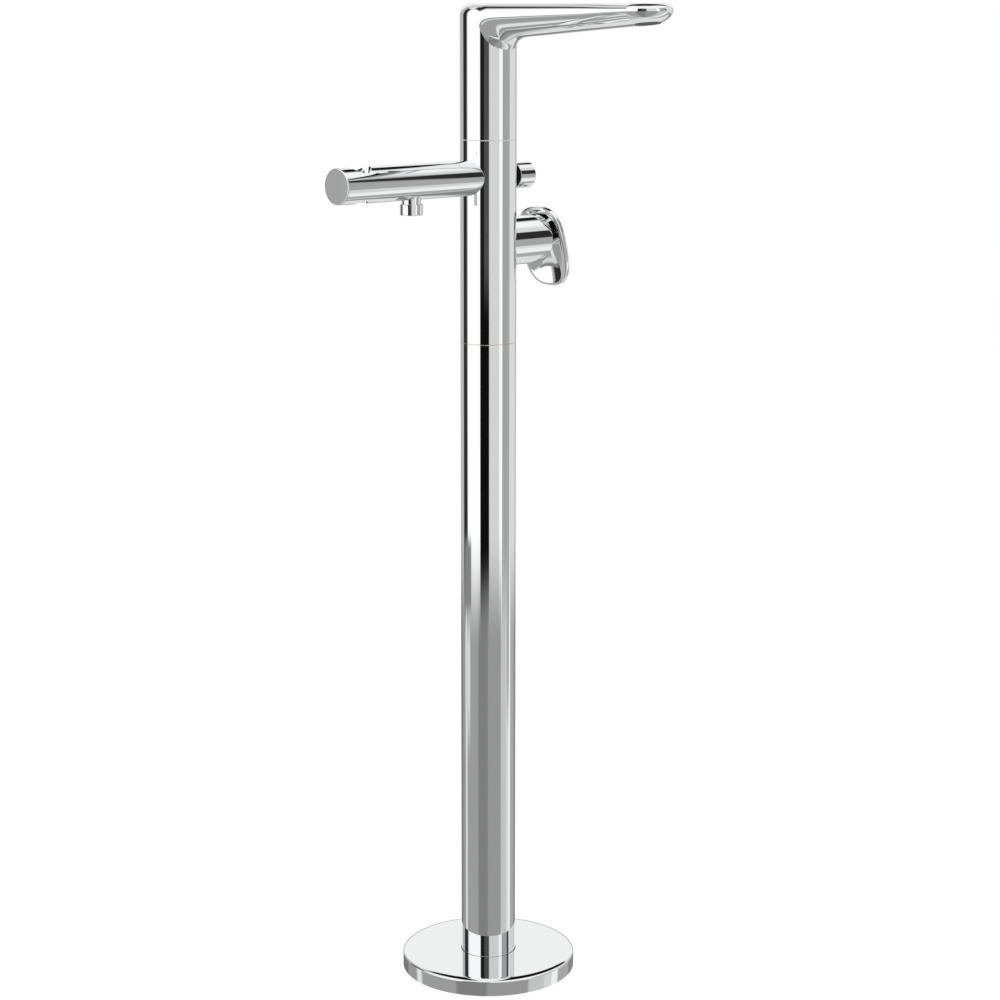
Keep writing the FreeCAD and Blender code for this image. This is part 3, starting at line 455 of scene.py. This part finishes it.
# %% Give each piece its finish
finishes = {
    "chrome": mirror_finish("chrome", (0.90, 0.905, 0.91), 0.012, 0.02),
    "steel": turned_finish("steel", (0.50, 0.51, 0.52), (0.66, 0.67, 0.68), 0.28, 0.0005),
    "brass": turned_finish("brass", (0.62, 0.46, 0.20), (0.78, 0.62, 0.32), 0.30, 0.0005),
    "rubber": moulded_finish("rubber", (0.014, 0.014, 0.015), (0.03, 0.03, 0.031), 0.62, 1500.0),
    "black_plastic": moulded_finish("black_plastic", (0.010, 0.010, 0.011), (0.022, 0.022, 0.023), 0.42,
                                    1900.0),
    "grey_plastic": moulded_finish("grey_plastic", (0.085, 0.088, 0.092), (0.13, 0.135, 0.14), 0.45, 1900.0),
    "pale_plastic": moulded_finish("pale_plastic", (0.74, 0.74, 0.71), (0.85, 0.85, 0.82), 0.40, 1700.0),
    "braided_hose": turned_finish("braided_hose", (0.40, 0.41, 0.42), (0.62, 0.63, 0.64), 0.34, 0.0014),
}
for row in frame["record"]["subparts"]:
    for slot in nodes[row["node"]].material_slots:
        slot.material = finishes[row["material_slot"]]
print("finishes", sorted(finishes))

# %% [markdown]
# ## Skins worked out from outlines
# Most of the filler is turned: the foot, the column, the knob and the collars are round about one line.
# Such a piece could be a cylinder with bevels, but then each edge has the same arc. Here a skin is one
# outline carried round an axis, with its own arc at each corner, because a real edge is never sharp and it
# is the arc that catches the thin bright line. The whole grid of points is worked out at once and then put
# into a mesh.

# %% Round an outline's corners


def rounded(corners, arc=6):
    """A closed outline through (across, along, radius) corners in millimetres, with an arc at each corner.

    An arc touches both sides at radius / tan(half the corner's angle) from the corner. Its points turn evenly
    from one touching point to the other round the arc's centre. A point just outside each end keeps the flat
    sides flat, so each corner becomes arc + 3 points.
    """
    corners = np.array(corners, float)
    place, radius = corners[:, :2], corners[:, 2:]
    back = np.roll(place, 1, 0) - place
    ahead = np.roll(place, -1, 0) - place
    back /= np.linalg.norm(back, axis=1, keepdims=True)
    ahead /= np.linalg.norm(ahead, axis=1, keepdims=True)
    half = np.arccos(np.clip((back * ahead).sum(1, keepdims=True), -1, 1)) / 2
    reach = radius / np.tan(half)
    middle = (back + ahead) / np.linalg.norm(back + ahead, axis=1, keepdims=True)
    centre = place + middle * radius / np.sin(half)
    first, last = place + back * reach - centre, place + ahead * reach - centre
    swing = (math.pi - 2 * half)[:, :, None]
    share = np.linspace(0, 1, arc + 1)[None, :, None]
    spokes = np.sin((1 - share) * swing) * first[:, None] + np.sin(share * swing) * last[:, None]
    bow = spokes / np.sin(swing) + centre[:, None]
    near = np.minimum(0.4, radius + 0.1)
    before = place + back * (reach + near)
    after = place + ahead * (reach + near)
    return np.concatenate([before[:, None], bow, after[:, None]], axis=1).reshape(-1, 2)


def part_of(outline, first, last, arc=6):
    """The points of an outline's corners from a first to a last one, counted from 0 and both kept."""
    step = arc + 3
    return outline[first * step:(last + 1) * step]


test_outline = rounded([(0, 0, 1), (10, 0, 1), (10, 10, 1), (0, 10, 1)])
print("a rounded square has", len(test_outline), "points, from", test_outline.min(), "to", test_outline.max())

# %% Carry an outline round an axis


def turned(outline, sides=192):
    """Points of a grid, sides x outline points x 3: each (radius, height) of the outline turned round +Z."""
    turn = np.linspace(0, 2 * math.pi, sides, endpoint=False)[:, None]
    radius, height = outline[None, :, 0], outline[None, :, 1]
    return np.stack([radius * np.cos(turn), radius * np.sin(turn), height + 0 * turn], axis=2)


def facing_x(points, height):
    """A grid drawn round +Z laid down so that its axis runs along +X at a height."""
    return np.stack([points[..., 2], points[..., 0], points[..., 1] + height], axis=-1)


print("a turned square has", turned(test_outline).shape[:2], "points")

# %% Join a grid's points into faces


def grid_faces(rows, columns, closed):
    """Corner numbers of a grid's quads; the rows always join up, and the columns do where closed is true."""
    row = np.arange(rows)[:, None]
    column = np.arange(columns if closed else columns - 1)[None, :]
    next_row, next_column = (row + 1) % rows, (column + 1) % columns
    quads = np.broadcast_arrays(row * columns + column, next_row * columns + column,
                                next_row * columns + next_column, row * columns + next_column)
    return np.stack(quads, axis=-1).reshape(-1, 4)


print("a closed grid of 3 by 4 has", len(grid_faces(3, 4, True)), "faces")

# %% Make a piece from its grids


def skin(name, grids, body, node_name, slot_name):
    """A finished piece from (points in millimetres, closed) grids, in the CAD node's place and on its body.

    A triangle's corners a, b and c and the origin span a tetrahedron, and a . (b x c) is six times its signed
    volume. The sum over all triangles is negative where the faces point inwards, and then they are turned.
    Points that fall on one another, as at a pole, are merged.
    """
    points, faces, used = [], [], 0
    for grid, closed in grids:
        flat = grid.reshape(-1, 3)
        quads = grid_faces(grid.shape[0], grid.shape[1], closed)
        a, b, c, d = (flat[quads[:, i]] for i in range(4))
        volume = (a * np.cross(b, c)).sum() + (a * np.cross(c, d)).sum()
        quads = quads[:, ::-1] if volume < 0 else quads
        points.append(flat)
        faces.append(quads + used)
        used += len(flat)
    mesh = bpy.data.meshes.new(name)
    mesh.from_pydata((np.concatenate(points) * MM).tolist(), [], np.concatenate(faces).tolist())
    work = bmesh.new()
    work.from_mesh(mesh)
    bmesh.ops.remove_doubles(work, verts=work.verts, dist=MM / 1000)
    work.to_mesh(mesh)
    work.free()
    mesh.shade_smooth()
    mesh.materials.append(finishes[slot_name])
    piece = bpy.data.objects.new(name, mesh)
    bpy.context.scene.collection.objects.link(piece)
    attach(piece, body)
    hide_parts(node_name)
    print(name, len(mesh.polygons), "faces", [round(side / MM, 1) for side in piece.dimensions])
    return piece


# %% [markdown]
# ## The foot and the column
# The foot is a pressed disc, open below, whose top edge falls away over a flat quarter of an ellipse: that
# is what draws the dark line along the rim. The column is a drawn tube that goes through the disc's middle.
# Both ends of the tube are broken by a very small arc, which shows as the thin line of the seam.

# %% Turn the foot's cover
column_r = 30.0
cover_r, cover_top, cover_wall = 96.0, 18.5, 2.2
cover_bore_r = 30.6
shoulder_across, shoulder_down = 9.2, 2.9
shoulder_foot = cover_top - shoulder_down
cover = rounded([(cover_r, 0.0, 0.4), (cover_r, shoulder_foot, 0.1),
                 (cover_r - shoulder_across, cover_top, 0.1), (cover_bore_r, cover_top, 0.25),
                 (cover_bore_r, 16.4, 0.2), (cover_r - cover_wall, 14.6, 0.6),
                 (cover_r - cover_wall, 0.0, 0.4)])
ease = np.linspace(0, math.pi / 2, 28)
shoulder = np.stack([cover_r - shoulder_across * (1 - np.cos(ease)),
                     shoulder_foot + shoulder_down * np.sin(ease)], axis=1)
cover = np.concatenate([part_of(cover, 0, 0), shoulder, part_of(cover, 3, 6)])
skin("foot_cover_skin", [(turned(cover, 320), True)], "stand", "base_cover", "chrome")

# %% Turn the column
tube_bore_r, tube_foot, seam = 28.0, 12.0, 708.7
tube = rounded([(column_r, tube_foot, 0.3), (column_r, seam, 0.3), (tube_bore_r, seam, 0.2),
                (tube_bore_r, tube_foot, 0.2)], arc=4)
skin("column_skin", [(turned(tube, 256), True)], "stand", "column_tube", "chrome")

# %% [markdown]
# ## The sleeve behind the lever
# The sleeve is a short tube that meets the round body sideways, so its inner end is a saddle: at each place
# round it, it starts where it touches the body. It could be cut with a Boolean, but a grid whose first row
# already lies on the body has cleaner edges.

# %% Seat the sleeve on the body
lever_z = 815.3
sleeve_end = 72.2
sleeve_r, sleeve_bore_r = 26.2, 23.7


def saddled(radius, share, inset, end, sides=224):
    """A tube along +X from the column's skin to an end; a row has a radius, a share of the way and an inset.

    At radius r and turn t it starts at x = sqrt(column_r^2 - (r cos t)^2), where a line along X leaves a
    cylinder of the column's radius. A row is at start + share * (end - inset - start).
    """
    turn = np.linspace(0, 2 * math.pi, sides, endpoint=False)[:, None]
    across, up = radius[None, :] * np.cos(turn), radius[None, :] * np.sin(turn)
    start = np.sqrt(column_r ** 2 - across ** 2)
    return np.stack([start + share * (end - inset - start), across, up], axis=-1)


rim = part_of(rounded([(sleeve_r, 8.0, 0.3), (sleeve_r, 0.0, 0.7), (sleeve_bore_r, 0.0, 0.5),
                       (sleeve_bore_r, 8.0, 0.3)]), 1, 2)
run = np.linspace(0.01, 0.92, 12)
radius = np.concatenate([[sleeve_r - 0.35, sleeve_r], sleeve_r + 0 * run, rim[:, 0], sleeve_bore_r + 0 * run,
                         [sleeve_bore_r]])
share = np.concatenate([[0, 0.004], run, 1 + 0 * rim[:, 0], run[::-1], [0]])
inset = np.concatenate([[0, 0], 0 * run, rim[:, 1], 0 * run, [0]])
sleeve = saddled(radius, share, inset, sleeve_end) + (0, 0, lever_z)
skin("sleeve_skin", [(sleeve, True)], "stand", "lever_sleeve", "chrome")

# %% [markdown]
# ## The lever
# The lever's plate is a rounded square that leans outwards at its foot. Its back, which the picture shows,
# is hollowed like a shallow dish inside a narrow rim. The outline is a superellipse, |x/a|^n + |y/b|^n = 1:
# with n = 2 it would be an ellipse, and with a large n a rectangle. The whole plate is rings of that
# outline, from the middle of the front, round the edge, and down into the dish.

# %% Shape the lever's plate
lever_back_x = 79.1
lever_tilt = math.radians(14.5)
plate_half_width = 32.6
plate_upper_half, plate_lower_half = 41.3, 48.7
plate_middle = -6.7
squareness = 2.8


def plate_rings(inset, share, depth, points=256):
    """Rings of the plate's outline, drawn in by an inset and then shrunk to a share, each at its own depth.

    At turn t the outline is (cos t, sin t) * (|cos t|^n + |sin t|^n)^(-1/n), n being the squareness, times
    half the width across, and times the upper or the lower half height along. x is across, y up the plate
    and z through it.
    """
    turn = np.linspace(0, 2 * math.pi, points, endpoint=False)[:, None]
    across, along = np.cos(turn), np.sin(turn)
    reach = (np.abs(across) ** squareness + np.abs(along) ** squareness) ** (-1 / squareness)
    half = np.where(along > 0, plate_upper_half, plate_lower_half)
    x = reach * across * (plate_half_width - inset) * share
    y = reach * along * (half - inset) * share + plate_middle
    return np.stack([x, y, depth + 0 * x], axis=-1)


def leaning(points):
    """Moves points drawn on the flat plate, its front at +Z, to where the plate leans behind the sleeve."""
    x, y, z = points[..., 0], points[..., 1], points[..., 2]
    return np.stack([lever_back_x - math.sin(lever_tilt) * y + math.cos(lever_tilt) * z, x,
                     lever_z + math.cos(lever_tilt) * y + math.sin(lever_tilt) * z], axis=-1)


print("plate", 2 * plate_half_width, "by", round(plate_upper_half + plate_lower_half, 1), "mm")

# %% Put the plate's rings together
plate_thickness = 8.0
front_arc, back_arc = 3.4, 2.2
dish_rim, dish_depth = 4.3, 6.3
quarter = np.linspace(0, math.pi / 2, 9)
inwards = np.linspace(1, 0, 26)
front_edge = (front_arc * (1 - np.sin(quarter)), plate_thickness - front_arc * (1 - np.cos(quarter)))
back_edge = (back_arc * (1 - np.cos(quarter)), back_arc * (1 - np.sin(quarter)))
lip = np.array([[2.6, 0.0], [3.2, 0.0], [3.6, 0.04], [4.0, 0.18]]).T
dish = 0.34 + dish_depth * (1 - inwards ** 2)
inset = np.concatenate([front_arc + 0 * inwards, front_edge[0], back_edge[0], lip[0], dish_rim + 0 * inwards])
depth = np.concatenate([plate_thickness + 0 * inwards, front_edge[1], back_edge[1], lip[1], dish])
edge_share = 1 + 0 * np.concatenate([quarter, quarter, lip[0]])
share = np.concatenate([inwards[::-1], edge_share, inwards])
plate = leaning(plate_rings(inset, share, depth))
print("lever plate", plate.shape, "dish", round(depth[-1], 1), "mm deep")

# %% Turn the lever's hub


def hub(start, sides=128):
    """The hub behind the plate, along X: a tube whose rows run from its start to a plane inside the plate.

    That plane leans as the plate does, so at height z over the axis it is at x = plate - z tan(tilt).
    """
    radius = np.array([0.0, 5.75, 5.75, 5.75, 10.6, 10.9, 11.0, 11.0, 11.0, 0.0])
    share = np.array([0.5, 0.5, 0.45, 0.0, 0.0, 0.008, 0.03, 0.5, 1.0, 1.0])
    plate_inside = 6.2
    turn = np.linspace(0, 2 * math.pi, sides, endpoint=False)[:, None]
    across, up = radius * np.cos(turn), radius * np.sin(turn)
    end = lever_back_x + plate_inside / math.cos(lever_tilt) - up * math.tan(lever_tilt)
    return np.stack([start + share * (end - start), across, up + lever_z], axis=-1)


hub_start = 58.0
skin("lever_skin", [(plate, False), (hub(hub_start), False)], "lever", "lever", "chrome")

# %% [markdown]
# ## The knob, the arm's end and the hose outlet
# These are turned too. The knob is hollow at its back, and the arm's end is a disc with a broken edge. The
# hose outlet's collar has a real screw thread inside, which shows from below: a grid makes one easily,
# because its radius only has to rise and fall with the height minus a share of the turn.

# %% Turn the knob
arm_z = 885.3
knob_r, knob_start, knob_end = 13.9, 35.9, 58.4
hollow_r, hollow_end, hole_r = 12.7, 54.4, 2.6
knob = rounded([(hollow_r, knob_start, 0.35), (hollow_r, hollow_end, 0.8), (hole_r, hollow_end, 0.2),
                (hole_r, knob_end, 0.2), (knob_r, knob_end, 1.0), (knob_r, knob_start, 0.35)])
skin("knob_skin", [(facing_x(turned(knob, 160), arm_z), True)], "diverter", "diverter_knob", "chrome")

# %% Turn the arm's end
cap_r, cap_face, cap_back = 18.56, -211.4, -208.4
spigot_r, spigot_end = 7.98, -203.7
cap = rounded([(0.0, cap_face, 0.1), (cap_r, cap_face, 0.8), (cap_r, cap_back, 0.2), (spigot_r, cap_back, 0.1),
               (spigot_r, spigot_end, 0.3), (0.0, spigot_end, 0.1)])
cap = np.concatenate([[(0.0, cap_face)], part_of(cap, 1, 4), [(0.0, spigot_end)]])
skin("arm_cap_skin", [(facing_x(turned(cap, 192), arm_z), False)], "stand", "arm_end_cap", "chrome")

# %% Cut a thread into the outlet's collar
outlet_x = -110.4
thread_r, thread_depth, thread_pitch = 9.35, 0.45, 1.8


def threaded(outline, bore, depth, pitch):
    """A turned grid whose rows at the bore's radius carry a screw thread.

    There the radius grows by depth * (1 + sin(2 pi height / pitch - turn)) / 2, one crest further up a turn.
    """
    points = turned(outline, 160)
    turn = np.linspace(0, 2 * math.pi, len(points), endpoint=False)[:, None]
    wave = (1 + np.sin(2 * math.pi * outline[None, :, 1] / pitch - turn)) / 2
    inside = (outline[None, :, 0] < bore + 0.01) & (outline[None, :, 0] > bore - 0.01)
    radius = outline[None, :, 0] + np.where(inside, depth * wave, 0)
    points[..., 0], points[..., 1] = radius * np.cos(turn), radius * np.sin(turn)
    return points


collar_r, collar_foot, collar_top = 12.0, 851.17, 862.77
shelf_r, shelf_z = 10.2, 860.0
thread_rows = np.stack([np.full(45, thread_r), np.linspace(851.75, 859.6, 45)], axis=1)
collar = rounded([(9.9, shelf_z, 0.1), (shelf_r, shelf_z, 0.1), (shelf_r, collar_top, 0.15),
                  (collar_r, collar_top, 0.6), (collar_r, collar_foot, 0.6), (thread_r, collar_foot, 0.35)],
                 arc=5)
collar = np.concatenate([collar, thread_rows])
collar = threaded(collar, thread_r, thread_depth, thread_pitch) + (outlet_x, 0, 0)
skin("outlet_collar_skin", [(collar, True)], "stand", "hose_outlet_collar", "chrome")

# %% Turn the outlet's neck
neck_r, neck_bore_r, neck_foot, neck_top = 10.1, 7.5, 860.05, 875.7
neck = rounded([(neck_bore_r, neck_foot, 0.2), (neck_r, neck_foot, 0.2), (neck_r, neck_top, 0.2),
                (neck_bore_r, neck_top, 0.2)], arc=4)
neck = turned(neck, 128) + (outlet_x, 0, 0)
skin("outlet_neck_skin", [(neck, True)], "stand", "hose_outlet_neck", "chrome")

# %% [markdown]
# ## The spout
# The spout and its head are one casting. From above the spout is a flat bar with a round end. Its section
# has a flat top, a soft top edge and a full belly, and where it meets the column the belly sweeps down into
# a V. The surface is one half section carried out along one side, round the end and back along the other
# side. It could be sculpted, but worked out it keeps every highlight in one clean line.

# %% Describe the spout's half section
spout_top = 1066.5
nose_centre = 222.0
spout_half_width, spout_edge = 28.0, 7.4
belly_height, belly_slope = 1027.8, 0.0775
circle_pole = 0.4477


def bezier(share, *poles):
    """Points on a Bezier curve from its first to its last pole; each pole is an (across, height) pair.

    The weight of pole k of n is binomial(n, k) * share^k * (1 - share)^(n - k).
    """
    last = len(poles) - 1
    weights = [math.comb(last, k) * share ** k * (1 - share) ** (last - k) for k in range(last + 1)]
    return [sum(weight * pole[axis] for weight, pole in zip(weights, poles)) for axis in (0, 1)]


def smooth(share):
    """A smooth step u * u * (3 - 2 * u), where u is the share kept between 0 and 1."""
    share = np.clip(share, 0, 1)
    return share * share * (3 - 2 * share)


def half_section(reach):
    """Rows of half sections, from the middle of the top to the middle of the belly, one row for each reach.

    The edge grows by smooth steps towards the head and the round end, and at the column's axis the section
    is nearly the head's own. The edge is a Bezier curve with its poles where a quarter of a circle has them.
    The belly rises evenly with the reach. Near the column it drops by (1 - d/30)^3, and in a small fillet by
    (1 - d/5)^2, where d is how far it stands off the column's skin.
    """
    reach = reach[:, None]
    head, nose, neck = smooth(1 - reach / 26), smooth(1 - (nose_centre - reach) / 72), smooth(1 - reach / 15)
    half = spout_half_width + 2.0 * neck
    wide = spout_edge + 5.1 * head + 4.6 * nose
    deep = spout_edge + 5.1 * head - 0.7 * nose
    belly, full = belly_height + belly_slope * reach, 0.66 - 0.09 * nose
    top = spout_top - 0.06 * neck
    low = top - deep
    flat = np.linspace(0, 1, 14)[None, :-1] * (half - wide)
    edge = bezier(np.linspace(0, 1, 22)[None, :-1], (half - wide, top), (half - circle_pole * wide, top),
                  (half, top - circle_pole * deep), (half, low))
    hull = bezier(np.linspace(0, 1, 70)[None, :], (half, low), (half, low - full * (low - belly)),
                  (half * full, belly), (0, belly))
    stand_off = reach - np.sqrt(column_r ** 2 - hull[0] ** 2)
    inner = 1 - (hull[0] / half) ** 9
    sweep = 8.0 * inner * np.clip(1 - stand_off / 30, 0, 1.3) ** 3
    fillet = 3.6 * inner * np.clip(1 - stand_off / 5, 0, 1) ** 2
    across = np.concatenate([flat, edge[0], hull[0]], axis=1)
    height = np.concatenate([top + 0 * flat, edge[1], hull[1] - sweep - fillet], axis=1)
    return across, height


across, height = half_section(np.array([0.0, 30.0, 120.0, 222.0]))
print("belly at reach 0, 30, 120 and 222:", np.round(height[:, -1], 1))

# %% Find the aerator's leaning axis
aerator_tilt = math.radians(7.0)
aerator_face = np.array([0.0, -226.9, 1045.585])
lean_cos, lean_sin = math.cos(aerator_tilt), math.sin(aerator_tilt)
lean = np.array([[1, 0, 0], [0, lean_cos, lean_sin], [0, -lean_sin, lean_cos]])


def tilted(points):
    """Moves points drawn round +Z, with the spout's inside upwards, to the aerator's leaning axis."""
    return points @ lean.T + aerator_face


print("the aerator looks", np.round(lean @ (0, 0, -1), 2))

# %% Carry the section out, round the end and back
way = (1 - np.cos(np.linspace(0, math.pi, 120))) / 2 * nose_centre
half_turn = np.linspace(0, math.pi, 66)[1:-1]
reach = np.concatenate([way, nose_centre + 0 * half_turn, way[::-1]])
swing = np.concatenate([0 * way, half_turn, math.pi + 0 * way])[:, None]
across, height = half_section(reach)
bar = np.stack([across * np.cos(swing), -reach[:, None] - across * np.sin(swing), height], axis=-1)
print("spout's bar", bar.shape)

# %% Press the aerator's seat in and join the head
seat_r, seat_depth = 12.7, 3.5
seat = (bar - aerator_face) @ lean
inside = np.clip((seat_r - np.hypot(seat[..., 0], seat[..., 1])) / 1.4, 0, 1) * (seat[..., 2] < 8)
bar += (seat_depth * inside)[..., None] * lean[:, 2]
head_top, head_foot, head_inside = 1066.44, 925.3, 1000.0
head_bore_r = 26.0
head = rounded([(0, head_top, 0.1), (column_r, head_top, 12.5), (column_r, head_foot, 0.3),
                (head_bore_r, head_foot, 0.2), (head_bore_r, head_inside, 2.0), (0, head_inside, 0.1)], arc=20)
head = np.concatenate([[(0.0, head_top)], part_of(head, 1, 4, arc=20), [(0.0, head_inside)]])
skin("spout_skin", [(turned(head, 256), False), (bar, False)], "spout", "spout_body", "chrome")

# %% [markdown]
# ## The aerator's face
# Water leaves the spout through a sieve of small cells in a dark ring. The sieve is a disc whose rows and
# columns are pressed in between ribs, a wave in the radius and one in the turn, so it is a single grid too.

# %% Press the sieve into the aerator
rib_step, spokes = 1.9, 24


def sieve(radius, deep, rings=54, sides=240):
    """A disc whose face is pressed in by deep * (cells in the radius) * (cells in the turn).

    Both are soft squares, sin(a) ** 2 raised to 0.35: nearly 1 in a cell, and dropping fast to 0 at a rib.
    """
    r = np.linspace(0, radius, rings)[None, :]
    turn = np.linspace(0, 2 * math.pi, sides, endpoint=False)[:, None]
    cells = (np.sin(math.pi * r / rib_step) ** 2) ** 0.35 * (np.sin(spokes / 2 * turn) ** 2) ** 0.35
    cells = np.where((r > rib_step) & (r < radius - 1.2), cells, 0)
    face = np.stack([r * np.cos(turn), r * np.sin(turn), 0.3 + deep * cells], axis=-1)
    back_r = np.array([radius, radius, radius, 0.0])[None, :]
    back_z = np.array([0.35, 0.6, 6.0, 6.0])
    back = np.stack([back_r * np.cos(turn), back_r * np.sin(turn), back_z + 0 * turn], axis=-1)
    return np.concatenate([face, back], axis=1)


sieve_r, cell_depth = 10.7, 0.9
grid = tilted(sieve(sieve_r, cell_depth))
skin("aerator_sieve", [(grid, False)], "spout", "aerator_insert", "grey_plastic")

# %% Turn the aerator's ring
ring_bore_r, ring_r, ring_height = 10.8, 13.0, 6.0
ring = rounded([(ring_bore_r, 0.0, 0.35), (ring_r, 0.0, 0.6), (ring_r, ring_height, 0.2),
                (ring_bore_r, ring_height, 0.2)], arc=5)
skin("aerator_ring_skin", [(tilted(turned(ring, 128)), True)], "spout", "aerator_ring", "grey_plastic")
